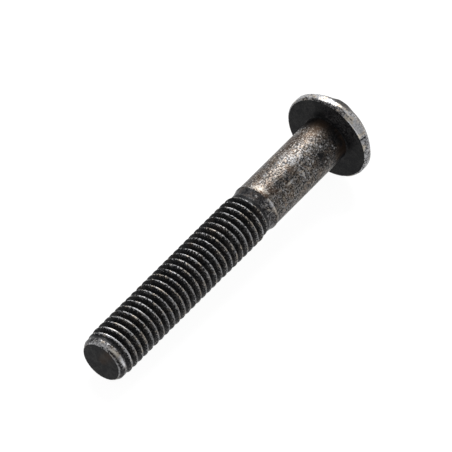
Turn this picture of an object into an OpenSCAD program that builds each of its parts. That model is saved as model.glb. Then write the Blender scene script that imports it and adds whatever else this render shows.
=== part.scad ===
// Button head machine screw, M5 x 0.8 and 35 long, with a plain shank and a hexagon socket.
// One forged, rolled and blackened piece of steel. It lies as it comes to rest, on the rim of
// its head and on the last full crest of its thread. All lengths are in millimetres.

/* [Thread] */
// Nominal diameter of the thread
nominal_d = 5; // [4.8:0.05:5.3]
// How far the crests stay below the nominal diameter
crest_allowance = 0.08; // [0.03:0.01:0.17]
// Distance between neighbouring crests
pitch = 0.8; // [0.7:0.05:1]
// Length over which the thread rises from the neck to its full height
runout_l = 0.9; // [0.6:0.1:2]
// Length over which the thread falls away towards the tip
lead_l = 0.95; // [0.5:0.05:1.1]
// Distance from the tip to the last full crest, on the side that the screw lies on
last_crest_l = 1.61; // [1.5:0.01:2]

/* [Shank] */
// Length from the bearing face under the head to the tip
length = 34.95; // [28:0.05:42]
// Diameter of the plain shank
shank_d = 4.78; // [4.6:0.01:4.85]
// Length of the plain shank, from the bearing face to its end
shank_l = 11.3; // [6:0.1:14]
// Diameter of the low ridge round the end of the shank
ridge_d = 4.9; // [4.86:0.01:5]
// Length over which the shank rises to the ridge
ridge_l = 0.4; // [0.2:0.05:0.6]
// Length of the taper from the ridge down to the neck
taper_l = 0.8; // [0.3:0.05:2]
// Diameter of the neck between the taper and the thread
neck_d = 4.6; // [4.4:0.02:4.7]
// Length of the neck
neck_l = 0.2; // [0.15:0.05:1]

/* [Tip] */
// Diameter of the nose where the thread ends
nose_d = 4.64; // [4.5:0.02:4.7]
// Length of the nose
nose_l = 0.55; // [0.5:0.01:0.6]
// Diameter of the flat end face
tip_d = 4.16; // [3.9:0.02:4.4]
// Length of the bevel between the nose and the end face
tip_bevel_l = 0.45; // [0.2:0.01:0.46]

/* [Head] */
// Largest diameter of the head
head_d = 9.24; // [8.4:0.02:10]
// Height of the head above the bearing face
head_h = 2.7; // [2.4:0.05:3.2]
// Height of the upright rim below the dome
rim_h = 0.8; // [0.4:0.05:1]
// Diameter of the flat crown on top of the dome
crown_d = 4.4; // [4:0.05:5]
// Radius of the rounded edge between the rim and the bearing face
rim_edge_r = 0.25; // [0.05:0.01:0.3]
// Radius of the fillet between the bearing face and the shank
fillet_r = 0.2; // [0.1:0.01:0.4]

/* [Socket] */
// Width of the hexagon socket across its flats
socket_af = 3; // [2:0.1:3.1]
// Depth of the flats below the crown
socket_depth = 1.6; // [1:0.05:1.9]
// Width of the countersink outside the corners of the hexagon
socket_bevel = 0.12; // [0.05:0.01:0.2]
// Included angle of the cone at the bottom of the socket, in degrees
socket_cone_angle = 120; // [100:5:150]

/* [Hidden] */
$fn = 96;
// How far parts of the screw that are one piece of steel reach into each other
overlap = 0.1;
// How far cuts start outside the face that they go through
cut_clear = 0.5;
// Angle at which the round faces of the head and shank start, off the line that they lie on
seam_angle = 45;

shank_r = shank_d / 2;
ridge_r = ridge_d / 2;
neck_r = neck_d / 2;
nose_r = nose_d / 2;
tip_r = tip_d / 2;
head_r = head_d / 2;
crown_r = crown_d / 2;

// The sixty degree thread, with the root diameter of its standard
flank_angle = 30;
root_d_share = 1.2268;
crest_flat_share = 0.125;
crest_r = (nominal_d - crest_allowance) / 2;
root_r = (nominal_d - root_d_share * pitch) / 2;
crest_flat = crest_flat_share * pitch + crest_allowance * tan(flank_angle);
flank_l = (crest_r - root_r) * tan(flank_angle);
root_flat = pitch - crest_flat - 2 * flank_l;
// Each turn goes from the root along a flank to the crest, and back along the next flank
turn_r = [root_r, root_r, crest_r, crest_r];
turn_l = [0, root_flat, root_flat + flank_l, root_flat + flank_l + crest_flat];
rows_in_turn = len(turn_r);

// Distances from the bearing face
taper_end = shank_l + taper_l;
thread_start = taper_end + neck_l;
nose_start = length - nose_l;
contact_l = length - last_crest_l;

// The faceted thread is a hair slimmer than the neck and the nose that it ends in
seam = 0.01;
thread_top = thread_start - overlap;
thread_bottom = nose_start + (nose_l - tip_bevel_l) / 2;
turns_up = ceil((contact_l - turn_l[3] - thread_top) / pitch) + 1;
turns = turns_up + ceil((thread_bottom - contact_l) / pitch) + 3;
rows = turns * rows_in_turn;
// A long or fine thread gets fewer columns around it, so that the screw stays light
columns_wanted = 36;
triangles_wanted = 11000;
columns = min(columns_wanted, floor(triangles_wanted / (2 * rows)));
grid_top = contact_l - turn_l[3] - turns_up * pitch;
// Rows that come this close to an end of the thread are moved onto it
snap = 0.006;

hexagon_d = socket_af / cos(30);
countersink_r = hexagon_d / 2 + socket_bevel;
socket_cone_l = socket_af / 2 / tan(socket_cone_angle / 2);

// The dome is part of a ball through the top of the rim and the edge of the crown
dome_centre = (head_h ^ 2 + crown_r ^ 2 - rim_h ^ 2 - head_r ^ 2) / (2 * (head_h - rim_h));
dome_r = norm([head_r, rim_h - dome_centre]);

// At rest the rounded rim edge and the last full crest touch the floor, so the axis rises
// towards the head
rest_run = contact_l + rim_edge_r;
rest_rise = head_r - rim_edge_r - crest_r;
rest_tilt = atan2(rest_rise, rest_run) + asin(rim_edge_r / norm([rest_run, rest_rise]));
axis_height = contact_l * sin(rest_tilt) + crest_r * cos(rest_tilt);
tip_reach = length * cos(rest_tilt) + tip_r * sin(rest_tilt);
crown_reach = head_h * cos(rest_tilt) + crown_r * sin(rest_tilt);

// Eases from 0 at the value a to 1 at the value b
function ease(a, b, x) =
    let (t = max(0, min(1, (x - a) / (b - a))))
    t * t * (3 - 2 * t);

function mix(a, b, share) = a + (b - a) * share;

// Distance of a point of the thread from the bearing face, kept between the thread's ends
function grid_l(column, row) =
    let (l = grid_top + pitch * (column / columns + floor(row / rows_in_turn))
            + turn_l[row % rows_in_turn])
    l < thread_top + snap ? thread_top
    : l > thread_bottom - snap ? thread_bottom
    : l;

// Radius of the thread, which grows out of the neck and runs out into the nose
function grid_r(l, row) =
    let (rise = ease(thread_start + overlap, thread_start + overlap + runout_l, l))
    let (fall = ease(nose_start - lead_l, nose_start - overlap, l))
    mix(mix(neck_r - seam, turn_r[row % rows_in_turn], rise), nose_r - seam, fall);

function grid_point(column, row) =
    let (l = grid_l(column, row))
    let (r = grid_r(l, row))
    let (angle = -360 * column / columns)
    [r * cos(angle), r * sin(angle), -l];

// The column after the last is the first one again, a turn further down
function grid_index(column, row) =
    column == columns ? row + rows_in_turn : column * rows + row;

function grid_gap(column, row) =
    column == columns
    ? grid_l(0, row + rows_in_turn + 1) - grid_l(0, row + rows_in_turn)
    : grid_l(column, row + 1) - grid_l(column, row);

// Right-hand thread, as a helical grid of rows and columns that is closed by flat ends
module thread() {
    points = [
        for (column = [0:columns - 1])
            for (row = [0:rows - 1])
                grid_point(column, row)
    ];
    sides = [
        for (column = [0:columns - 1])
            for (row = [0:rows - 2 - rows_in_turn])
                let (a = grid_index(column + 1, row))
                let (b = grid_index(column, row))
                each [
                    if (grid_gap(column, row) > 0) [a, b, b + 1],
                    if (grid_gap(column + 1, row) > 0) [a, b + 1, a + 1],
                ]
    ];
    top = [for (column = [0:columns - 1]) grid_index(column, 0)];
    bottom = [for (column = [columns - 1:-1:0]) grid_index(column, rows - 1)];
    polyhedron(points, concat(sides, [top, bottom]));
}

// Half section of the head, with its bearing face on the line y = 0
module head_section() {
    difference() {
        intersection() {
            translate([0, dome_centre]) circle(r = dome_r);
            square([head_r, head_h]);
        }
        translate([head_r - rim_edge_r, 0])
            difference() {
                square([rim_edge_r + cut_clear, rim_edge_r]);
                translate([0, rim_edge_r]) circle(r = rim_edge_r);
            }
    }
}

// Half section of the fillet that joins the shank to the bearing face
module fillet_section() {
    translate([0, -fillet_r])
        difference() {
            square([shank_r + fillet_r, fillet_r + overlap]);
            translate([shank_r + fillet_r, 0]) circle(r = fillet_r);
        }
}

// Half section of the shank, the ridge at its end, the taper and the neck
module shank_section() {
    polygon([
        [0, overlap],
        [shank_r, overlap],
        [shank_r, ridge_l - shank_l],
        [ridge_r, -shank_l],
        [neck_r, -taper_end],
        [neck_r, -thread_start],
        [0, -thread_start],
    ]);
}

// Half section of the nose, with its bevel
module nose_section() {
    polygon([
        [0, -nose_start],
        [nose_r, -nose_start],
        [nose_r, tip_bevel_l - length],
        [tip_r, -length],
        [0, -length],
    ]);
}

// Hexagon, countersunk mouth and conical bottom of the socket
module socket_cut() {
    translate([0, 0, head_h - socket_depth])
        cylinder(d = hexagon_d, h = socket_depth + cut_clear, $fn = 6);
    translate([0, 0, head_h - countersink_r])
        cylinder(r1 = 0, r2 = countersink_r + cut_clear, h = countersink_r + cut_clear);
    translate([0, 0, head_h - socket_depth - socket_cone_l])
        cylinder(r1 = 0, r2 = socket_af / 2, h = socket_cone_l);
}

// The whole screw, upright on its axis, with its bearing face at the height 0
module upright_screw() {
    difference() {
        union() {
            rotate([0, 0, seam_angle])
                rotate_extrude() {
                    head_section();
                    fillet_section();
                    shank_section();
                }
            thread();
            rotate_extrude() nose_section();
        }
        socket_cut();
    }
}

// The screw lies along X with its head at the high end, over the middle of its length
module screw() {
    color("dimgray")
        translate([(tip_reach - crown_reach) / 2, 0, axis_height])
            rotate([0, 90 - rest_tilt, 0])
                upright_screw();
}

screw();
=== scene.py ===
import math

import bpy
import numpy as np
from mathutils import Matrix, Vector


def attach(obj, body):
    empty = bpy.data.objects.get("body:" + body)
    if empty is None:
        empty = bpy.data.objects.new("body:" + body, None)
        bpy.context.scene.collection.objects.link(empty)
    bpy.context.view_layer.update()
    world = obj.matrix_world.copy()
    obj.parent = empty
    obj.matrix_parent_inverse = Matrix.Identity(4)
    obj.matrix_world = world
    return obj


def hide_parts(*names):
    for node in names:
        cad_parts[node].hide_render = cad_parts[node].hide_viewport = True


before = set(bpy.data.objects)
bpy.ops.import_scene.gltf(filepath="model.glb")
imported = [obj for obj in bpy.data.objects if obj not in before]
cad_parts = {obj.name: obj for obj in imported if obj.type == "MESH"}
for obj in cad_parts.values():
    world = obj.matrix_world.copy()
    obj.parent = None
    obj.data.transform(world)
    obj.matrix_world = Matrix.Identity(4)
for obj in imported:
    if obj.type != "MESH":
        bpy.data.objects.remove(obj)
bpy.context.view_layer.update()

# A worn M5 button head screw that lies on the rim of its head and on its thread. Lengths are
# in millimetres up to laid_down(), which turns them into the model's metres.

# Sizes of the screw, as in its solid model

NOMINAL_D = 5.0
CREST_ALLOWANCE = 0.08
PITCH = 0.8
RUNOUT_L = 0.9
LEAD_L = 0.95
LAST_CREST_L = 1.61
LENGTH = 34.95
SHANK_R = 2.39
SHANK_L = 11.3
RIDGE_R = 2.45
RIDGE_L = 0.4
TAPER_L = 0.8
NECK_R = 2.3
NECK_L = 0.2
NOSE_R = 2.32
NOSE_L = 0.55
TIP_R = 2.08
TIP_BEVEL_L = 0.45
HEAD_R = 4.62
HEAD_H = 2.7
RIM_H = 0.8
CROWN_R = 2.2
RIM_EDGE_R = 0.25
FILLET_R = 0.2
SOCKET_AF = 3.0
SOCKET_DEPTH = 1.6
SOCKET_BEVEL = 0.12
SOCKET_CONE_ANGLE = math.radians(120)

# The sixty degree thread, with the root diameter of its standard
FLANK_ANGLE = math.radians(30)
ROOT_D_SHARE = 1.2268
CREST_FLAT_SHARE = 0.125
CREST_R = (NOMINAL_D - CREST_ALLOWANCE) / 2
ROOT_R = (NOMINAL_D - ROOT_D_SHARE * PITCH) / 2
CREST_FLAT = CREST_FLAT_SHARE * PITCH + CREST_ALLOWANCE * math.tan(FLANK_ANGLE)
FLANK_L = (CREST_R - ROOT_R) * math.tan(FLANK_ANGLE)
ROOT_FLAT = PITCH - CREST_FLAT - 2 * FLANK_L

# Distances from the bearing face
TAPER_END = SHANK_L + TAPER_L
THREAD_START = TAPER_END + NECK_L
NOSE_START = LENGTH - NOSE_L
CONTACT_L = LENGTH - LAST_CREST_L
# How far from its two ends the thread starts to rise and has fallen away
OVERLAP = 0.1

# The dome is part of a ball through the top of the rim and the edge of the crown
DOME_Z = (HEAD_H ** 2 + CROWN_R ** 2 - RIM_H ** 2 - HEAD_R ** 2) / (2 * (HEAD_H - RIM_H))
DOME_R = math.hypot(HEAD_R, RIM_H - DOME_Z)

# At rest the rounded rim edge and the last full crest touch the floor
REST_RUN = CONTACT_L + RIM_EDGE_R
REST_RISE = HEAD_R - RIM_EDGE_R - CREST_R
REST_TILT = (math.atan2(REST_RISE, REST_RUN)
             + math.asin(RIM_EDGE_R / math.hypot(REST_RUN, REST_RISE)))
AXIS_HEIGHT = CONTACT_L * math.sin(REST_TILT) + CREST_R * math.cos(REST_TILT)
TIP_REACH = LENGTH * math.cos(REST_TILT) + TIP_R * math.sin(REST_TILT)
CROWN_REACH = HEAD_H * math.cos(REST_TILT) + CROWN_R * math.sin(REST_TILT)

MM = 0.001
# The screw's own frame is upright: z up its axis to the head, with 0 at the bearing face
LAY_DOWN = (Matrix.Translation(((TIP_REACH - CROWN_REACH) / 2, 0, AXIS_HEIGHT))
            @ Matrix.Rotation(math.pi / 2 - REST_TILT, 4, "Y"))


def laid_down(points):
    """Points from the screw's upright frame, in millimetres, to where it lies, in metres."""
    turn = np.array(LAY_DOWN.to_3x3())
    return (points @ turn.T + np.array(LAY_DOWN.translation)) * MM


# Noise that is the same on every run

# Large odd numbers, which scatter the numbers of neighbouring points
SCATTER_X = 374761393
SCATTER_Y = 668265263
SCATTER_Z = 2147483647
SCATTER_SEED = 1274126177
LOW_32_BITS = 0xFFFFFFFF
LOW_16_BITS = 0xFFFF
# Keeps the places that noise is read at above zero
NOISE_ORIGIN = 1000.0
LAYERS = 3
# Each layer of noise is finer and weaker than the last by these factors
LAYER_FINER = 2.1
LAYER_WEAKER = 0.6


def lattice(ix, iy, iz, seed):
    """A number from 0 to 1 for each whole-numbered point."""
    mixed = ix * SCATTER_X + iy * SCATTER_Y + iz * SCATTER_Z + seed * SCATTER_SEED
    mixed = mixed & LOW_32_BITS
    mixed = ((mixed ^ (mixed >> 13)) * SCATTER_SEED) & LOW_32_BITS
    return ((mixed ^ (mixed >> 16)) & LOW_16_BITS) / LOW_16_BITS


def noise(points, per_mm, seed):
    """Smooth noise from 0 to 1 at points in millimetres, with per_mm lumps to a millimetre."""
    places = points * per_mm + NOISE_ORIGIN
    base = np.floor(places).astype(np.int64)
    within = ease(0, 1, places - base)
    total = 0.0
    for dx in (0, 1):
        for dy in (0, 1):
            for dz in (0, 1):
                weight = (np.where(dx, within[:, 0], 1 - within[:, 0])
                          * np.where(dy, within[:, 1], 1 - within[:, 1])
                          * np.where(dz, within[:, 2], 1 - within[:, 2]))
                total = total + weight * lattice(
                    base[:, 0] + dx, base[:, 1] + dy, base[:, 2] + dz, seed)
    return total


def layered(points, per_mm, seed):
    """Noise of several sizes, from 0 to 1."""
    total, weight = 0.0, 0.0
    for i in range(LAYERS):
        share = LAYER_WEAKER ** i
        total = total + noise(points, per_mm * LAYER_FINER ** i, seed + i) * share
        weight += share
    return total / weight


def ease(a, b, x):
    """Eases from 0 at the value a to 1 at the value b."""
    t = np.clip((x - a) / (b - a), 0, 1)
    return t * t * (3 - 2 * t)


def mix(a, b, share):
    return a + (b - a) * share


# The surface, as rings around the axis

COLUMNS = 180
# Edges that turn by more than this are sharp
SHARP_ANGLE = math.radians(38)
# Radius of the smallest ring, at the bottom of the socket
CENTRE_R = 0.001
# Rings on the flat crown, between the socket and the dome
CROWN_RINGS = (1.95, 2.1)
# Distance from an edge to the ring beside it, which keeps the edge crisp
EDGE_GAP = 0.05
# The same on the bearing face and the end face, and on the shank
FACE_EDGE_GAP = 0.1
SHANK_EDGE_GAP = 0.12
# Rings that round off the end of the ridge and the foot of the taper: how far inside the edge
# and how far past it, towards the tip
RIDGE_EDGE = [(0.005, -0.04), (0.006, 0.03), (0.02, 0.1)]
NECK_EDGE = [(-0.008, -0.05), (-0.003, -0.02), (0, 0.06)]
# Radius of the rounded edge of the end face
TIP_EDGE_R = 0.04


def hexagon_r(angle):
    """Distance from the axis to the wall of the hexagon, with corners at 0 and each 60 degrees."""
    sector = math.radians(60)
    return SOCKET_AF / 2 / np.cos((angle % sector) - sector / 2)


def arc(centre_r, centre_z, radius, start, end, count):
    """(r, z) along an arc, with angles in degrees from the outward direction towards +z."""
    return [(centre_r + radius * math.cos(math.radians(a)),
             centre_z + radius * math.sin(math.radians(a)))
            for a in np.linspace(start, end, count)]


def line(r0, z0, r1, z1, count):
    """(r, z) along a straight line, without its last point."""
    return [(mix(r0, r1, t), mix(z0, z1, t)) for t in np.linspace(0, 1, count + 1)[:-1]]


def socket_rings(angle):
    """Rings from the bottom of the socket to its mouth, as (r, z)."""
    mouth_r = SOCKET_AF / 2 / math.cos(math.radians(30)) + SOCKET_BEVEL
    floor_z = HEAD_H - SOCKET_DEPTH
    cone_l = SOCKET_AF / 2 / math.tan(SOCKET_CONE_ANGLE / 2)
    wall = hexagon_r(angle)
    edge_z = HEAD_H - (mouth_r - wall)
    rings = [(CENTRE_R, floor_z - cone_l)]
    for share in (0.3, 0.6, 0.9, 1.0):
        rings.append((SOCKET_AF / 2 * share, floor_z - cone_l * (1 - share)))
    for share in (0, 0.05, 0.35, 0.65, 0.95, 1):
        rings.append((wall, mix(floor_z, edge_z, share)))
    rings.append((mix(wall, mouth_r, 0.5), mix(edge_z, HEAD_H, 0.5)))
    rings.append((mouth_r, HEAD_H))
    return rings


def head_profile():
    """(r, z) from the crown down to the start of the shank."""
    top = math.degrees(math.atan2(HEAD_H - DOME_Z, CROWN_R))
    low = math.degrees(math.atan2(RIM_H - DOME_Z, HEAD_R))
    points = [(r, HEAD_H) for r in CROWN_RINGS]
    points += arc(0, DOME_Z, DOME_R, top, low, count=26)
    points += line(HEAD_R, RIM_H - EDGE_GAP, HEAD_R, RIM_EDGE_R, count=8)
    points += arc(HEAD_R - RIM_EDGE_R, RIM_EDGE_R, RIM_EDGE_R, 0, -90, count=9)
    points += line(HEAD_R - RIM_EDGE_R - FACE_EDGE_GAP, 0, SHANK_R + FILLET_R, 0, count=9)
    points += arc(SHANK_R + FILLET_R, -FILLET_R, FILLET_R, 90, 180, count=6)
    return points


def shank_profile():
    """(r, z) from the fillet to the start of the thread, with the edges a little rounded."""
    ridge = [(RIDGE_R - inside, -SHANK_L - past) for inside, past in RIDGE_EDGE]
    neck = [(NECK_R - inside, -TAPER_END - past) for inside, past in NECK_EDGE]
    ridge_start = (SHANK_R, RIDGE_L - SHANK_L)
    points = line(SHANK_R, -FILLET_R - SHANK_EDGE_GAP, *ridge_start, count=100)
    points += line(*ridge_start, *ridge[0], count=5) + ridge[:-1]
    points += line(*ridge[-1], *neck[0], count=6) + neck[1:]
    return points


def nose_profile():
    """(r, z) from the nose over its bevel to the middle of the end face."""
    bevel_start = (NOSE_R, TIP_BEVEL_L - LENGTH)
    edge_z = TIP_EDGE_R - LENGTH
    middle_r = 0.05
    points = line(NOSE_R, -NOSE_START - EDGE_GAP, *bevel_start, count=2)
    points += line(*bevel_start, TIP_R + TIP_EDGE_R / 2, edge_z, count=7)
    points += arc(TIP_R - TIP_EDGE_R, edge_z, TIP_EDGE_R, -25, -90, count=4)
    points += line(TIP_R - FACE_EDGE_GAP, -LENGTH, middle_r, -LENGTH, count=24)
    return points


# One turn of the thread: distance along the axis and share of the thread's height
CREST_START = ROOT_FLAT + FLANK_L
CREST_END = CREST_START + CREST_FLAT
TURN = [
    (0, 0.025), (ROOT_FLAT / 2, 0), (ROOT_FLAT, 0.025),
    (ROOT_FLAT + 0.5 * FLANK_L, 0.5), (ROOT_FLAT + 0.9 * FLANK_L, 0.9),
    (CREST_START + 0.02, 0.985), (CREST_START + CREST_FLAT / 2, 1), (CREST_END - 0.02, 0.985),
    (CREST_END + 0.1 * FLANK_L, 0.9), (CREST_END + 0.5 * FLANK_L, 0.5),
]
# The row of a turn that ends its crest
CREST_END_ROW = 7
# Rows of the thread that come this close to an end of it are moved onto it
SNAP = 0.004
# Turns past the nose, so that the helical grid reaches it all the way round
SPARE_TURNS = 3


class Surface:
    """Points of the screw's surface and the faces between them.

    Each point has its radius and angle about the axis, its height along it, and its crest, which
    is 1 on a full crest of the thread and 0 off the thread.
    """

    def __init__(self):
        self.angle = -2 * math.pi * np.arange(COLUMNS) / COLUMNS
        self.faces = []
        self.count = 0
        self.r, self.z, self.theta, self.crest = [], [], [], []

    def add_points(self, r, z, theta, crest=0.0):
        """Adds a point for each of the angles and returns their numbers."""
        numbers = np.arange(self.count, self.count + len(theta))
        self.r.append(np.broadcast_to(r, len(theta)))
        self.z.append(np.broadcast_to(z, len(theta)))
        self.theta.append(theta)
        self.crest.append(np.broadcast_to(crest, len(theta)))
        self.count += len(theta)
        return numbers

    def add_ring(self, r, z):
        return self.add_points(r, z, self.angle)

    def join(self, upper, lower):
        """Faces between two rings."""
        for column in range(COLUMNS):
            after = (column + 1) % COLUMNS
            self.faces.append((upper[after], upper[column], lower[column], lower[after]))

    def cap(self, ring, z, facing_up):
        """A fan that closes a small ring at a new point on the axis."""
        centre = self.add_points(0.0, z, np.zeros(1))[0]
        for column in range(COLUMNS):
            after = (column + 1) % COLUMNS
            first, second = (column, after) if facing_up else (after, column)
            self.faces.append((ring[first], ring[second], centre))

    def add_thread(self, upper, lower):
        """The helical grid between the ring at its top and the ring at its nose end."""
        crest_end = TURN[CREST_END_ROW][0]
        turns_up = math.ceil((CONTACT_L - crest_end - THREAD_START) / PITCH) + 1
        turns = turns_up + math.ceil((NOSE_START - CONTACT_L) / PITCH) + SPARE_TURNS
        start = CONTACT_L - crest_end - turns_up * PITCH
        first_row = start + PITCH * (np.arange(COLUMNS) / COLUMNS)
        grid = np.array([self.add_thread_row(first_row + PITCH * turn + step, height, upper, lower)
                         for turn in range(turns) for step, height in TURN])
        for row in range(len(grid) - 1 - len(TURN)):
            for column in range(COLUMNS):
                after, row_after = column + 1, row
                # The column after the last is the first one again, a turn further down
                if after == COLUMNS:
                    after, row_after = 0, row + len(TURN)
                corners = (grid[row_after, after], grid[row, column],
                           grid[row + 1, column], grid[row_after + 1, after])
                face = [v for k, v in enumerate(corners) if v != corners[k - 1]]
                if len(set(face)) > 2:
                    self.faces.append(tuple(face))

    def add_thread_row(self, along, height, upper, lower):
        """Adds a row's points, and takes those of the ring where it runs past an end."""
        above = along < THREAD_START + SNAP
        below = along > NOSE_START - SNAP
        inside = ~(above | below)
        numbers = np.where(above, upper, lower)
        along = along[inside]
        rise = ease(THREAD_START + OVERLAP, THREAD_START + OVERLAP + RUNOUT_L, along)
        fall = ease(NOSE_START - LEAD_L, NOSE_START - OVERLAP, along)
        r = mix(mix(NECK_R, mix(ROOT_R, CREST_R, height), rise), NOSE_R, fall)
        crest = height * ease(0, 0.25, rise)
        numbers[inside] = self.add_points(r, -along, self.angle[inside], crest)
        return numbers


def screw_surface():
    surface = Surface()
    rings = [surface.add_ring(r, z) for r, z in socket_rings(surface.angle)]
    rings += [surface.add_ring(r, z) for r, z in head_profile() + shank_profile()]
    rings.append(surface.add_ring(NECK_R, -THREAD_START))
    for upper, lower in zip(rings, rings[1:]):
        surface.join(upper, lower)
    nose = [surface.add_ring(NOSE_R, -NOSE_START)]
    surface.add_thread(rings[-1], nose[0])
    nose += [surface.add_ring(r, z) for r, z in nose_profile()]
    for upper, lower in zip(nose, nose[1:]):
        surface.join(upper, lower)
    surface.cap(nose[-1], -LENGTH, facing_up=False)
    surface.cap(rings[0], surface.z[0][0], facing_up=True)
    return surface


# Places on the surface: along the axis from the bearing face towards the tip, in millimetres,
# and around it from the side that faces the camera, in degrees that grow towards the floor

# The side of the screw that faces the camera, as an angle about its axis
FACING = math.radians(211.4)

# Each spot has its place, its half sizes along and around the screw, and its strength

# Bare steel on the crests, where they were knocked and rubbed
CREST_WEAR = [
    (13.57, 20, 0.2, 0.35, 0.7), (13.54, 55, 0.25, 0.5, 0.7),
    (14.5, -47, 0.25, 0.45, 1.0), (15.13, 0, 0.3, 0.2, 0.7), (15.08, 56, 0.25, 0.5, 0.6),
    (16.07, 5, 0.35, 0.9, 0.7), (19.95, 4, 0.25, 0.5, 0.5), (21.6, -15, 0.25, 0.4, 0.5),
    (25.2, 30, 0.3, 0.8, 0.4), (29.6, -17, 0.3, 0.9, 0.6), (32.14, -33, 0.25, 0.6, 0.6),
    (31.99, -11, 0.25, 0.4, 0.6), (32.86, -41, 0.3, 0.7, 1.0), (33.75, -38, 0.3, 0.5, 0.9),
    (33.54, 0, 0.35, 1.3, 0.8), (33.5, 35, 0.35, 1.0, 0.7), (33.5, -100, 0.4, 1.5, 0.6),
    (27.3, 120, 0.4, 1.2, 0.6),
]
# Bare steel on the shank, its end and the taper
SHANK_WEAR = [
    (11.1, -43, 0.22, 0.25, 0.6), (10.95, -33, 0.3, 0.4, 0.5), (10.85, -24, 0.3, 0.35, 0.6),
    (10.81, -13, 0.15, 0.4, 0.7), (10.74, -4, 0.15, 0.2, 0.5), (11.24, 9, 0.1, 0.25, 1.4),
    (11.25, 18, 0.14, 0.3, 1.6), (11.26, 30, 0.14, 0.3, 1.4), (11.28, 41, 0.14, 0.25, 1.0),
    (11.75, -18.5, 0.1, 0.1, 1.2), (11.8, 13, 0.08, 0.1, 0.5), (11.66, 10, 0.08, 0.08, 0.6),
    (11.8, 25, 0.08, 0.15, 0.4), (11.6, 33, 0.08, 0.12, 0.5), (12.35, -21, 0.06, 0.5, 0.3),
    (3.24, 39, 0.12, 0.12, 0.9), (2.83, 36, 0.12, 0.12, 0.8), (1.54, 31, 0.14, 0.14, 0.9),
    (1.75, 23, 0.09, 0.09, 0.8), (2.8, 4, 0.14, 0.1, 0.9), (6.2, 150, 0.5, 0.8, 0.5),
    (5.6, -18, 0.7, 0.7, 0.3), (8.14, 13.6, 0.35, 0.09, 1.5), (6.27, 21, 0.09, 0.4, 1.4),
    (4.58, 16, 0.1, 0.1, 1.3), (4.75, 4.4, 0.1, 0.1, 1.3), (11.72, 22, 0.22, 0.5, 0.5),
    (8.9, -120, 0.4, 0.6, 0.5), (4.4, 95, 0.3, 0.9, 0.4),
]
# Bare steel on the nose; the strong spot at 34.57 mm and 5 degrees is a painted glint, a pale
# streak that stands for a reflection.
NOSE_WEAR_AND_GLINT = [
    (34.46, 30, 0.22, 0.55, 2.0), (34.38, 44, 0.14, 0.45, 1.6), (34.57, 5, 0.12, 0.5, 1.9),
    (34.66, -6, 0.08, 0.25, 1.0), (34.32, 62, 0.08, 0.35, 0.9), (34.31, -4, 0.08, 1.1, 0.9),
    (34.52, -28, 0.18, 0.5, 0.9), (34.78, -42, 0.2, 0.7, 0.8), (34.93, -66, 0.15, 0.5, 0.9),
    (34.74, -20, 0.12, 0.5, 0.8), (34.5, 170, 0.2, 0.9, 0.8), (34.6, -120, 0.15, 0.5, 0.6),
]
# Bare steel on the rim of the head, and the dark places between. Some of the bare spots, low on
# the rim next to the bearing face, are painted glints on worn steel.
RIM_WEAR_AND_GLINTS = [
    (-0.65, -44, 0.2, 0.8, 0.7), (-0.5, -28, 0.2, 0.7, 0.6), (-0.6, -15, 0.15, 0.7, 0.7),
    (-0.14, -12, 0.08, 0.3, 1.0), (-0.12, 2, 0.07, 0.4, 0.9), (-0.12, 12, 0.08, 0.5, 1.2),
    (-0.14, 22, 0.1, 0.4, 1.2), (-0.5, 3, 0.15, 0.7, 0.6), (-0.55, 20, 0.2, 0.7, 0.4),
    (-0.06, 36, 0.1, 0.15, 0.9), (-0.1, 44, 0.1, 0.15, 0.8), (-0.1, 58, 0.12, 0.2, 0.8),
    (-0.56, -9, 0.12, 0.5, 0.9), (-0.2, -33, 0.12, 0.5, 0.4), (-0.35, -55, 0.2, 0.5, 0.4),
    (-0.4, 160, 0.3, 1.6, 0.6), (-0.5, -140, 0.3, 1.4, 0.5), (-0.4, 100, 0.2, 0.9, 0.5),
]
RIM_DARK = [
    (-0.2, -64, 0.18, 0.4, 0.8), (-0.1, -48, 0.15, 0.35, 0.8), (-0.08, -37, 0.13, 0.35, 0.8),
    (-0.06, -28, 0.08, 0.3, 0.7), (-0.35, -11, 0.13, 0.4, 0.9), (-0.34, -3, 0.12, 0.3, 0.7),
    (-0.3, 6, 0.1, 0.3, 0.7), (-0.3, 38, 0.25, 0.4, 0.3), (-0.3, 58, 0.25, 0.6, 0.3),
    (-0.3, -170, 0.2, 0.8, 0.7), (-0.45, 130, 0.2, 0.6, 0.7),
]
# The place where the rim is knocked in
NICK = (-0.25, 32.5, 0.6, 0.1)

# How far wear has moved the steel
NICK_DEPTH = 0.1
THREAD_DENT = 0.03
SHANK_DENT = 0.012
EDGE_DENT = 0.02
# How far the burr on the dome stands out, its height above the bearing face and half its width
BURR = 0.22
BURR_Z = 1.75
BURR_SIZE = 0.45
# The shank and the crests next to it are a hair thicker, and the nose sits a hair off the axis
THICKER = 0.03
OFF_AXIS = 0.04

# Where more steel than this has been added up, it is bright, and over this range it gets fully so
BRIGHT_FROM = 1.0
BRIGHT_RANGE = 0.6

# Points this close to a face count as on it
HAIR = 0.01
# The rounded edge of the ridge belongs to the shank
SHANK_END = SHANK_L + 0.05
# The rounded edge of the end face belongs to the nose
END_EDGE = 0.03


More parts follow.
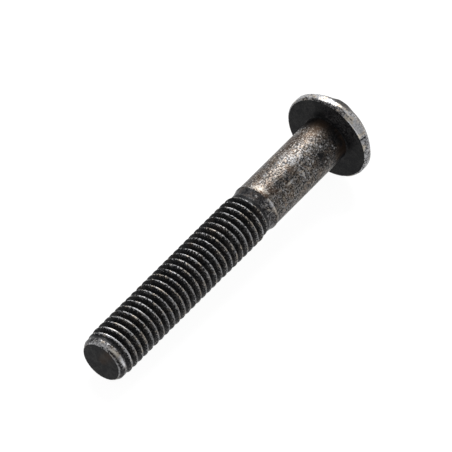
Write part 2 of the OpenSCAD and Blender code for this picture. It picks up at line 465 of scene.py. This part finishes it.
class Skin:
    """The points of the surface, with the part that each is on, the noise there, its wear and the
    light and shade painted on it.

    Each kind of wear is a share from 0 to 1, which the material reads, and some shares also carry
    painted light, shade and glints. The bounds that go with side are degrees around the screw, and
    those with along are millimetres from the bearing face. The factors say how much each cause
    adds to a share, or takes from it.
    """

    def __init__(self, surface):
        self.r = np.concatenate(surface.r)
        self.z = np.concatenate(surface.z)
        self.along = -self.z
        self.theta = np.concatenate(surface.theta)
        self.crest = np.concatenate(surface.crest)
        self.side = np.degrees(self.around(0))
        # 1 along a line on the lower side that the camera just sees, and -1 opposite
        self.lower_side = np.cos(self.around(60))
        self.name_parts()

        self.unworn = self.points(self.r)
        self.big = layered(self.unworn, per_mm=0.45, seed=11)
        self.mid = layered(self.unworn, per_mm=1.6, seed=23)
        self.fine = layered(self.unworn, per_mm=3.2, seed=41)
        self.knocks = self.total(CREST_WEAR)
        self.nick = self.spot(*NICK) * self.on_rim

    def name_parts(self):
        r, z, along = self.r, self.z, self.along
        self.on_dome = (z > RIM_H + HAIR) & (r > CROWN_R - EDGE_GAP)
        self.on_rim = (z > HAIR) & (z <= RIM_H + HAIR) & (r > HEAD_R - RIM_EDGE_R)
        self.on_bearing_face = ((np.abs(z) < HAIR) & (r > SHANK_R + FILLET_R)
                                & (r < HEAD_R - RIM_EDGE_R))
        self.on_shank = (along > FILLET_R / 2) & (along <= SHANK_END)
        self.on_neck = (along > SHANK_END) & (along <= THREAD_START)
        self.on_thread = (along > THREAD_START) & (along < NOSE_START - OVERLAP)
        self.on_nose = along >= NOSE_START - OVERLAP
        self.on_end = (along > LENGTH - END_EDGE) & (r < TIP_R - END_EDGE)
        self.on_nose_side = self.on_nose & ~self.on_end

    def around(self, ahead):
        """How far each point lies from a place around the screw, in radians."""
        turned = self.theta - FACING - math.radians(ahead)
        return (turned + math.pi) % (2 * math.pi) - math.pi

    def points(self, r):
        return np.stack([r * np.cos(self.theta), r * np.sin(self.theta), self.z], 1)

    def spot(self, along, ahead, half_l, half_round):
        """1 in the middle of a soft oval spot, falling to 0 around it."""
        across = self.around(ahead) * self.r
        return np.exp(-(((self.along - along) / half_l) ** 2 + (across / half_round) ** 2))

    def total(self, spots):
        return sum(strength * self.spot(*place) for *place, strength in spots)

    def patches(self, low, high, per_mm, seed):
        """Separate patches of noise, with soft edges."""
        return ease(low, high, layered(self.unworn, per_mm, seed))

    def whole_oxide(self):
        """Where the oxide is whole: on the lower side of the shank, next to the head."""
        near_head = ease(4.6, 3.4, self.along + 3 * (self.mid - 0.5))
        lower = self.on_shank * ease(-8, 6, self.side) * ease(60, 35, self.side)
        return (0.5 * near_head + 0.5 * self.spot(3.4, 18, 0.5, 0.9)) * lower

    def shaded_middle_band(self):
        """A darker band along the middle of the shank's visible side: painted shade beside the
        lamp's highlight.
        """
        return ease(-14, -4, self.side) * ease(14, 6, self.side) * ease(3.6, 5.4, self.along)

    def rubbed_edge_glint(self):
        """The bright stretch of the rim's lower edge: worn steel with a painted glint, which
        stands for a reflection.
        """
        return ease(0.34, 0.2, self.z) * ease(-4, 3, self.side) * ease(31, 28, self.side)

    def sliver(self):
        """The part of the dome that shows over the rim, which is given less bare steel and film,
        so it stays dark.
        """
        return ease(-44, -34, self.side) * ease(4, -8, self.side)

    def bare(self):
        """Bare steel, which shows along the crests, on the edges and where it was knocked, with
        painted light and shade on the crests and painted glints on the rim and the nose.
        """
        first_turn = ease(13.6, 12.9, self.along)
        towards_tip = ease(18, 33, self.along)
        # Painted light: the crests are lighter towards the floor side.
        lit_towards_floor = ease(5, 30, self.side)
        # Painted shade: the crests are darker along the far upper edge.
        shaded_far_edge = ease(-40, -62, self.side)
        worn = (0.6 + 0.8 * (self.fine - 0.5) + 0.2 * towards_tip + 0.28 * lit_towards_floor
                + self.knocks)
        worn *= (1 - 0.4 * first_turn) * (1 - 0.7 * shaded_far_edge)
        bare = np.where(self.on_thread, worn * ease(0.86, 0.97, self.crest), 0)
        bare += np.where(self.on_shank | self.on_neck, self.total(SHANK_WEAR), 0)
        clear_of_head = ease(0.8, 2.4, self.along)
        rubbed = self.on_shank * clear_of_head * (0.2 + 0.5 * (self.big - 0.5))
        # Painted shade: less rubbed steel along the middle of the shank's visible side.
        bare += rubbed * (1 - self.whole_oxide()) * (1 - 0.6 * self.shaded_middle_band())
        bare += np.where(self.on_rim, self.bare_rim(), 0)
        high_on_dome = ease(1.0, 1.7, self.z)
        dome = 0.45 - 0.3 * high_on_dome + 0.8 * (self.mid - 0.5)
        bare += np.where(self.on_dome, dome * (1 - 0.9 * self.sliver()), 0)
        bare += np.where(self.on_nose_side, self.total(NOSE_WEAR_AND_GLINT), 0)
        end_edge = ease(LENGTH - 0.12, LENGTH - 0.04, self.along)
        end_edge *= ease(TIP_R - 0.1, TIP_R - 0.05, self.r)
        end_edge *= 0.35 + 0.65 * ease(0.1, 0.7, self.lower_side)
        bare += np.where(self.on_nose, 1.2 * end_edge * (0.4 + self.fine), 0)
        return bare

    def bare_rim(self):
        """Bare steel on the rim, most where it was rubbed and along the painted glint of its lower
        edge, and least along a strip of painted shade.
        """
        # The strip of painted shade keeps the lamp's highlight off the rim's lower part. It lies
        # next to the bearing face and widens towards the camera's side
        shade_top = 0.2 + 0.0146 * (self.side + 38)
        dark = ease(shade_top + 0.08, shade_top - 0.08, self.z)
        dark *= ease(-46, -38, self.side) * ease(-2, -8, self.side)
        return (0.75 + 0.9 * (self.mid - 0.5) + self.total(RIM_WEAR_AND_GLINTS) - self.total(RIM_DARK)
                + 1.1 * self.rubbed_edge_glint() - 0.7 * dark)

    def bright(self, bare):
        """Knocked and rubbed places, where the bare steel is bright, and a painted reflection on
        the rim's lower half.
        """
        bright = np.clip((bare - BRIGHT_FROM) / BRIGHT_RANGE, 0, 1)
        bright *= np.where(self.on_thread, 0.6 * ease(0.3, 0.8, self.knocks), 1)
        reflecting_lower_half = ease(-14, 0, self.side)
        # Painted reflection: the rim's lower half takes at least 0.4 of the polished colour, and
        # its upper half, under the lamp's highlight, takes none.
        return np.where(self.on_rim, np.maximum(bright, 0.4) * reflecting_lower_half, bright)

    def film(self):
        """The film that has taken the black oxide's place where the screw was handled, thinned in
        places to paint shade and thickened in others to paint light.
        """
        shaded_far_side = ease(-18, -28, self.side)
        shaded_far_edge = ease(-44, -56, self.side)
        near_head = ease(5, 3, self.along)
        ragged_start = self.along + 1.2 * (self.big - 0.5)
        shank = ease(0.4, 2.6 + 2.0 * (self.mid - 0.5), ragged_start) * (1 - self.whole_oxide())
        # Painted shade: the film is thinner along the middle of the visible side, and on the far
        # side, most along the far edge and near the head.
        shank *= 1 - 0.45 * self.spot(9.4, -7, 0.9, 0.4) - 0.4 * self.shaded_middle_band()
        shank *= 1 - shaded_far_side * (0.12 + 0.38 * shaded_far_edge + 0.2 * shaded_far_edge * near_head)
        film = np.where(self.on_shank, shank, 0)
        neck = 0.22 + 0.4 * (self.mid - 0.5) + 0.7 * ease(-4, 6, self.side)
        film += np.where(self.on_neck, neck, 0)
        film += np.where(self.on_rim, 0.9, 0)
        film += np.where(self.on_dome, 0.7 - 0.45 * self.sliver(), 0)
        nose = 0.35 + 0.5 * ease(0.2, -0.6, self.lower_side) + 0.3 * (self.mid - 0.5)
        film += np.where(self.on_nose_side, nose, 0)
        # Painted shade and light: the film on the flanks fades out along the far edge, and the
        # thread's film grows towards the floor side, which it paints lighter.
        flanks = 0.3 * ease(0.0, 0.8, self.crest) * self.mid * ease(-60, -40, self.side)
        film += self.on_thread * (flanks + 0.22 * ease(-5, 25, self.side))
        # Painted light: the film lightens the middle of the bearing face, which the shank shades.
        lit_middle = ease(50, 20, np.abs(self.side))
        film += 0.36 * self.on_bearing_face * lit_middle * (0.5 + self.mid)
        return film

    def rust_and_glint(self):
        """Brown stain, and a painted glint on the nose."""
        rust_and_glint = self.on_shank * (0.9 * self.spot(1.5, -34, 1.3, 0.9)
                                + self.spot(10.9, -28, 0.5, 0.9)
                                + 0.5 * self.patches(0.52, 0.7, per_mm=0.9, seed=61))
        rust_and_glint += 0.4 * self.on_neck * ease(0.5, 0.7, self.mid)
        # Painted glint: on the nose this share turns the bright steel into a pale cream streak.
        rust_and_glint += self.on_nose * self.spot(34.57, 4, 0.2, 0.6)
        crests = self.on_thread * ease(0.1, 0.7, self.crest)
        rust_and_glint += 0.3 * crests * self.patches(0.55, 0.75, per_mm=1.2, seed=67)
        rust_and_glint += 0.6 * self.on_end * self.spot(LENGTH, 0, 1, 0.5)
        return rust_and_glint

    def worn_points(self):
        """The points, moved outwards by the burr on the dome and inwards by the dents."""
        burr = self.on_dome * ease(-37, -24, self.side) * ease(2, -16, self.side)
        burr *= np.exp(-((self.z - BURR_Z) / BURR_SIZE) ** 2)
        on_smooth = self.on_shank | self.on_neck
        on_edges = self.on_rim | self.on_nose_side
        thread_dents = self.on_thread * self.crest * self.patches(0.58, 0.8, per_mm=1.3, seed=37)
        shank_dents = on_smooth * self.patches(0.55, 0.75, per_mm=1.1, seed=53)
        edge_dents = on_edges * self.patches(0.5, 0.75, per_mm=1.5, seed=71)
        crests_near_shank = self.on_thread * ease(0.5, 1, self.crest) * ease(24, 14, self.along)
        outwards = BURR * burr + THICKER * (self.on_shank + crests_near_shank)
        inwards = (NICK_DEPTH * self.nick + THREAD_DENT * thread_dents
                   + SHANK_DENT * shank_dents + EDGE_DENT * edge_dents)
        sideways = np.array((-math.sin(FACING), math.cos(FACING), 0))
        off_axis = OFF_AXIS * ease(33.2, 34.6, self.along)
        return self.points(self.r + outwards - inwards) + off_axis[:, None] * sideways

    def shares(self):
        """What the material reads, by name."""
        bare = self.bare()
        return {
            "bare": bare * (1 - 0.9 * self.nick),
            "bright": self.bright(bare) * (1 - self.nick),
            "film": self.film() * (1 - 0.7 * self.nick),
            "rust_and_glint": self.rust_and_glint(),
            "rim": np.where(self.on_rim | self.on_dome, 1 - self.rubbed_edge_glint(), 0),
            # The film is brown on the shank and the dome, and nearly grey elsewhere
            "tan": np.where(self.on_shank | self.on_dome, 1, 0.15),
        }


def build_screw():
    surface = screw_surface()
    skin = Skin(surface)
    mesh = bpy.data.meshes.new("screw_body")
    mesh.from_pydata(laid_down(skin.worn_points()).tolist(), [],
                     [[int(v) for v in face] for face in surface.faces])
    mesh.validate()
    for name, values in skin.shares().items():
        layer = mesh.attributes.new(name, "FLOAT", "POINT")
        layer.data.foreach_set("value", np.clip(values, 0, 1).astype(np.float32))
    mesh.polygons.foreach_set("use_smooth", [True] * len(mesh.polygons))
    mesh.set_sharp_from_angle(angle=SHARP_ANGLE)
    piece = bpy.data.objects.new("screw_body", mesh)
    bpy.context.scene.collection.objects.link(piece)
    return piece


# Materials

OXIDE_DEEP = (0.007, 0.008, 0.01)
OXIDE_BLACK = (0.021, 0.021, 0.023)
OXIDE_GREY = (0.037, 0.036, 0.036)
FILM_BLACK = (0.024, 0.024, 0.024)
FILM_UMBER = (0.034, 0.027, 0.022)
FILM_BROWN = (0.19, 0.17, 0.15)
FILM_CREAM = (0.36, 0.335, 0.31)
FILM_TAN = (0.3, 0.24, 0.195)
FILM_DARK_GREY = (0.027, 0.027, 0.029)
FILM_GREY = (0.17, 0.17, 0.178)
FILM_PALE_GREY = (0.3, 0.3, 0.31)
STAIN_BROWN = (0.1, 0.06, 0.035)
STEEL_GREY = (0.32, 0.32, 0.33)
STEEL_SILVER = (0.6, 0.6, 0.61)
STEEL_BROWN = (0.34, 0.3, 0.26)
STEEL_CREAM = (0.6, 0.54, 0.46)
# Polished steel; these colours also paint the reflections on the rim's lower half, and the
# near-white cream paints the glint on the nose.
POLISHED_SILVER = (0.78, 0.78, 0.8)
POLISHED_WARM = (0.78, 0.72, 0.63)
POLISH_AND_GLINT_CREAM = (0.95, 0.9, 0.8)
STAIN_STRENGTH = 0.7
FILM_METALLIC = 0.38
RUBBED_METALLIC = 0.2
SHINY_METALLIC = 0.8
RIM_METALLIC = 0.45
SPECULAR_LEVEL = 0.08
# Roughness of the even and of the mottled places
EVEN_ROUGHNESS = 0.46
MOTTLED_ROUGHNESS = 0.32
PIT_DEPTH = 0.02 * MM
OXIDE_PITS = 0.2
FILM_PITS = 0.6
# Moves a noise away from the others of its kind
NOISE_SHIFT = (0.31, 0.17, 0.53)

FLOOR_GREY = (0.15, 0.15, 0.15, 1)
FLOOR_GLOW = 0.95
WHITE = (1, 1, 1, 1)


class Nodes:
    """Short names for the few node types that the materials use."""

    def __init__(self, name):
        self.material = bpy.data.materials.new(name)
        self.material.use_nodes = True
        self.tree = self.material.node_tree
        self.tree.nodes.clear()

    def add(self, kind, inputs=(), **settings):
        node = self.tree.nodes.new(kind)
        for key, value in settings.items():
            setattr(node, key, value)
        for key, value in dict(inputs).items():
            if isinstance(value, bpy.types.NodeSocket):
                self.tree.links.new(value, node.inputs[key])
            else:
                node.inputs[key].default_value = value
        return node

    def noise(self, coords, per_mm, detail, roughness):
        return self.add("ShaderNodeTexNoise", {
            "Vector": coords, "Scale": per_mm / MM, "Detail": detail, "Roughness": roughness,
        }).outputs["Fac"]

    def math(self, operation, a, b):
        return self.add("ShaderNodeMath", {0: a, 1: b}, operation=operation).outputs[0]

    def step(self, value, low, high):
        return self.add("ShaderNodeMapRange", {
            "Value": value, "From Min": low, "From Max": high,
        }, interpolation_type="SMOOTHSTEP").outputs["Result"]

    # The mix node's sockets go by number, because it has several of each name

    def mix_color(self, share, a, b):
        a, b = (c if isinstance(c, bpy.types.NodeSocket) else (*c, 1) for c in (a, b))
        return self.add("ShaderNodeMix", {0: share, 6: a, 7: b}, data_type="RGBA").outputs[2]

    def mix_value(self, share, a, b):
        return self.add("ShaderNodeMix", {0: share, 2: a, 3: b}, data_type="FLOAT").outputs[0]


class Steel(Nodes):
    """Worn black oxide, with the film, the stain and the bare steel that the shares tell of, and
    the light, shade and glints painted with them.
    """

    def __init__(self):
        super().__init__("worn_black_oxide")
        coords = self.add("ShaderNodeTexCoord").outputs["Object"]
        shifted = self.add("ShaderNodeVectorMath", {0: coords, 1: NOISE_SHIFT},
                           operation="ADD").outputs[0]
        self.share = {name: self.add("ShaderNodeAttribute", attribute_name=name).outputs["Fac"]
                      for name in ("bare", "bright", "film", "rust_and_glint", "rim", "tan")}
        self.fine = self.noise(coords, per_mm=6.0, detail=2, roughness=0.65)
        self.grain = self.noise(shifted, per_mm=6.5, detail=2, roughness=0.55)
        self.mid = self.noise(coords, per_mm=1.5, detail=3, roughness=0.5)
        coarse = self.noise(shifted, per_mm=2.2, detail=2, roughness=0.6)
        self.mottle = self.step(self.mid, 0.42, 0.6)
        self.speckle = self.step(self.fine, 0.46, 0.55)
        self.patches = self.step(coarse, 0.38, 0.6)

    def bare(self):
        """Bare steel comes through in grains, and closes up where its share is high."""
        grains = self.math("ADD", self.step(self.grain, 0.3, 0.7), self.share["bare"])
        return self.math("MULTIPLY", self.step(grains, 0.85, 1.2),
                         self.step(self.share["bare"], 0.0, 0.1))

    def ground_color(self):
        """Oxide and film, with the stain over them."""
        oxide = self.mix_color(self.step(self.grain, 0.35, 0.65), OXIDE_DEEP,
                               self.mix_color(self.mottle, OXIDE_BLACK, OXIDE_GREY))
        dark_brown = self.mix_color(self.mottle, FILM_BLACK, FILM_UMBER)
        light_brown = self.mix_color(self.patches, FILM_BROWN,
                                     self.mix_color(self.mottle, FILM_CREAM, FILM_TAN))
        light_grey = self.mix_color(self.patches, FILM_GREY, FILM_PALE_GREY)
        brown = self.mix_color(self.speckle, dark_brown, light_brown)
        grey = self.mix_color(self.speckle, FILM_DARK_GREY, light_grey)
        film = self.mix_color(self.share["tan"], grey, brown)
        stain = self.math("MULTIPLY", self.share["rust_and_glint"], STAIN_STRENGTH)
        return self.mix_color(stain, self.mix_color(self.share["film"], oxide, film), STAIN_BROWN)

    def steel_color(self):
        """Bare steel, silver or cream, and brighter where it is polished or where a glint is
        painted.
        """
        warm = self.math("MAXIMUM", self.step(self.mid, 0.5, 0.62), self.share["rust_and_glint"])
        silver = self.mix_color(self.speckle, STEEL_GREY, STEEL_SILVER)
        cream = self.mix_color(self.speckle, STEEL_BROWN, STEEL_CREAM)
        rubbed = self.mix_color(warm, silver, cream)
        polish_and_glint_cream = self.mix_color(self.share["rust_and_glint"], POLISHED_WARM, POLISH_AND_GLINT_CREAM)
        polished = self.mix_color(warm, POLISHED_SILVER, polish_and_glint_cream)
        return self.mix_color(self.share["bright"], rubbed, polished)

    def metallic(self, bare):
        """Bright steel mirrors its surroundings most, and the oxide not at all."""
        clean = self.math("SUBTRACT", 1.0, self.share["rust_and_glint"])
        shiny = self.math("MULTIPLY", self.share["bright"], clean)
        steel = self.mix_value(shiny, RUBBED_METALLIC, SHINY_METALLIC)
        steel = self.mix_value(self.share["rim"], steel, RIM_METALLIC)
        film = self.math("MULTIPLY", self.share["film"], FILM_METALLIC)
        return self.mix_value(bare, film, steel)

    def finish(self):
        """The material, with its shader in place."""
        bare = self.bare()
        pits = self.add("ShaderNodeBump", {
            "Height": self.fine,
            "Strength": self.mix_value(self.share["film"], OXIDE_PITS, FILM_PITS),
            "Distance": PIT_DEPTH,
        })
        shader = self.add("ShaderNodeBsdfPrincipled", {
            "Base Color": self.mix_color(bare, self.ground_color(), self.steel_color()),
            "Metallic": self.metallic(bare),
            "Roughness": self.mix_value(self.mottle, EVEN_ROUGHNESS, MOTTLED_ROUGHNESS),
            "Specular IOR Level": SPECULAR_LEVEL,
            "Normal": pits.outputs["Normal"],
        })
        self.add("ShaderNodeOutputMaterial", {"Surface": shader.outputs[0]})
        return self.material


def floor_material():
    """White to the eye and in reflections, and a plain grey that takes the shadow."""
    nodes = Nodes("pale_floor")
    path = nodes.add("ShaderNodeLightPath").outputs
    reflected = nodes.math("MAXIMUM", path["Is Glossy Ray"], path["Is Transmission Ray"])
    seen = nodes.math("MAXIMUM", path["Is Camera Ray"], reflected)
    lit = nodes.add("ShaderNodeBsdfDiffuse", {"Color": FLOOR_GREY})
    glow = nodes.add("ShaderNodeEmission", {
        "Color": WHITE, "Strength": nodes.math("MULTIPLY", seen, FLOOR_GLOW),
    })
    both = nodes.add("ShaderNodeAddShader", {0: lit.outputs[0], 1: glow.outputs[0]})
    nodes.add("ShaderNodeOutputMaterial", {"Surface": both.outputs[0]})
    return nodes.material


# Camera, light and floor

IMAGE_SIZE = 452
SENSOR = 36.0
AZIMUTH = math.radians(-53.17)
ELEVATION = math.radians(43.08)
# The photograph's scale at the middle of the screw, in pixels to a millimetre
PIXELS_PER_MM = 10.707
DISTANCE = 385.2
# The middle of the screw, from the bearing face, and where it shows, from the picture's middle
AIM_L = 15.06
AIM_RIGHT_PIXELS = 5.87
AIM_DOWN_PIXELS = 5.85

# What stands around the screw, in metres and watts
LAMP_DIRECTION = (0.585, 0.343, 0.736)
LAMP_DISTANCE = 0.6
LAMP_D = 0.45
LAMP_POWER = 4.0
WORLD_STRENGTH = 0.3
FLOOR_REACH = 1.5
# The floor lies a hair below the screw
FLOOR_Z = -2e-5


def add_camera():
    back = Vector((math.sin(AZIMUTH) * math.cos(ELEVATION),
                   -math.cos(AZIMUTH) * math.cos(ELEVATION), math.sin(ELEVATION)))
    turn = (-back).to_track_quat("-Z", "Y")
    right, up = turn @ Vector((1, 0, 0)), turn @ Vector((0, 1, 0))
    middle = LAY_DOWN @ Vector((0, 0, -AIM_L))
    centre = (middle - right * (AIM_RIGHT_PIXELS / PIXELS_PER_MM)
              + up * (AIM_DOWN_PIXELS / PIXELS_PER_MM))
    data = bpy.data.cameras.new("camera")
    data.sensor_width = SENSOR
    data.lens = SENSOR * PIXELS_PER_MM * DISTANCE / IMAGE_SIZE
    data.clip_start = 0.01
    data.clip_end = 10
    camera = bpy.data.objects.new("camera", data)
    camera.location = (centre + back * DISTANCE) * MM
    camera.rotation_mode = "QUATERNION"
    camera.rotation_quaternion = turn
    bpy.context.scene.collection.objects.link(camera)
    bpy.context.scene.camera = camera


def add_lamp():
    data = bpy.data.lights.new("key", "AREA")
    data.shape = "DISK"
    data.size = LAMP_D
    data.energy = LAMP_POWER
    lamp = bpy.data.objects.new("key", data)
    away = Vector(LAMP_DIRECTION).normalized()
    lamp.location = away * LAMP_DISTANCE
    lamp.rotation_mode = "QUATERNION"
    lamp.rotation_quaternion = (-away).to_track_quat("-Z", "Y")
    bpy.context.scene.collection.objects.link(lamp)


def add_world():
    world = bpy.data.worlds.new("studio")
    world.use_nodes = True
    background = world.node_tree.nodes["Background"]
    background.inputs["Color"].default_value = WHITE
    background.inputs["Strength"].default_value = WORLD_STRENGTH
    bpy.context.scene.world = world


def add_floor():
    corners = [(x * FLOOR_REACH, y * FLOOR_REACH, FLOOR_Z)
               for x, y in ((-1, -1), (1, -1), (1, 1), (-1, 1))]
    mesh = bpy.data.meshes.new("floor")
    mesh.from_pydata(corners, [], [(0, 1, 2, 3)])
    floor = bpy.data.objects.new("floor", mesh)
    floor.data.materials.append(floor_material())
    bpy.context.scene.collection.objects.link(floor)


piece = build_screw()
piece.data.materials.append(Steel().finish())
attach(piece, "root")
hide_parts("screw")

add_camera()
add_lamp()
add_world()
add_floor()
bpy.context.scene.view_settings.view_transform = "Standard"
